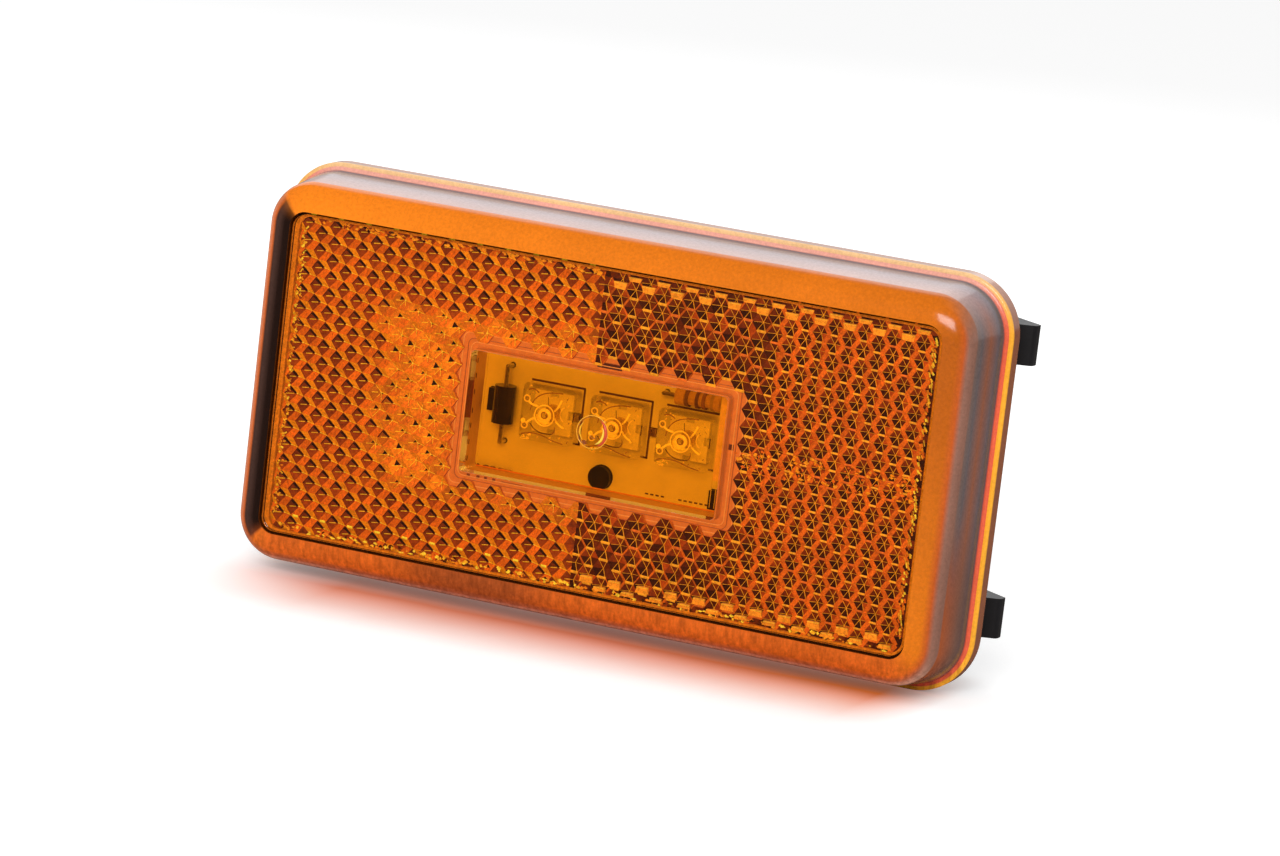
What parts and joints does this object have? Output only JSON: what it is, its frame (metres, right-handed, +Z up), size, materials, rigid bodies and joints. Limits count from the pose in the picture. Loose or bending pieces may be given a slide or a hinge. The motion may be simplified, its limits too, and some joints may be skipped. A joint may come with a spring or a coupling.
{
  "type": "side marker lamp",
  "caption": "Rectangular amber side marker lamp with a reflex panel round a clear window over a light board, on a black snap-in base with four sprung hooks and a rear socket.",
  "frame": {"origin": "centre of the mounting plane, the back face of the lens flange that rests on the panel", "axes": "-Y is the way the light shines, out of the lens; +X runs along the lamp's length, to the right as seen from the front; +Z is up"},
  "size_m": [0.1038, 0.0376, 0.055],
  "materials": {
    "amber_lens": "translucent amber acrylic with a fine grain on the bezel, polished side walls",
    "amber_reflex": "clear amber acrylic, polished face over corner-cube prisms",
    "seal_rubber": "matte silicone",
    "black_housing": "fine-grained moulded black plastic",
    "white_board": "satin white solder mask",
    "clear_epoxy": "clear cast epoxy",
    "tinned_metal": "tinned wire",
    "gold_chip": "reflector cup with a small yellow die",
    "diode_black": "moulded epoxy",
    "resistor_tan": "lacquer with colour bands",
    "solder": "bright solder",
    "brass_blade": "stamped brass",
    "potting_resin": "cast resin"
  },
  "bodies": {
    "lamp": {"lens_frame": "amber_lens", "reflex_panel": "amber_reflex", "lens_seal": "seal_rubber", "base_housing": "black_housing", "circuit_board": "white_board", "led_left": "clear_epoxy", "led_middle": "clear_epoxy", "led_right": "clear_epoxy", "led_leadframes": "tinned_metal", "led_chips": "gold_chip", "diode_body": "diode_black", "diode_leads": "tinned_metal", "resistor_lower": "resistor_tan", "resistor_upper": "resistor_tan", "resistor_leads": "tinned_metal", "solder_joints": "solder", "terminal_left": "brass_blade", "terminal_right": "brass_blade", "potting_plug": "potting_resin"},
    "snap_arm_upper_right_body": {"snap_arm_upper_right": "black_housing"},
    "snap_arm_lower_right_body": {"snap_arm_lower_right": "black_housing"},
    "snap_arm_upper_left_body": {"snap_arm_upper_left": "black_housing"},
    "snap_arm_lower_left_body": {"snap_arm_lower_left": "black_housing"}
  },
  "joints": [
    {"name": "upper_right_arm_flex", "type": "hinge", "parent": "lamp", "child": "snap_arm_upper_right_body", "pos_m": [0.0468, 0.0012, 0.0181], "axis": [0, 0, 1], "range_deg": [0, 25], "stiffness_Nm_per_rad": 0.4},
    {"name": "lower_right_arm_flex", "type": "hinge", "parent": "lamp", "child": "snap_arm_lower_right_body", "pos_m": [0.0468, 0.0012, -0.0181], "axis": [0, 0, 1], "range_deg": [0, 25], "stiffness_Nm_per_rad": 0.4},
    {"name": "upper_left_arm_flex", "type": "hinge", "parent": "lamp", "child": "snap_arm_upper_left_body", "pos_m": [-0.0468, 0.0012, 0.0181], "axis": [0, 0, -1], "range_deg": [0, 25], "stiffness_Nm_per_rad": 0.4},
    {"name": "lower_left_arm_flex", "type": "hinge", "parent": "lamp", "child": "snap_arm_lower_left_body", "pos_m": [-0.0468, 0.0012, -0.0181], "axis": [0, 0, -1], "range_deg": [0, 25], "stiffness_Nm_per_rad": 0.4}
  ]
}
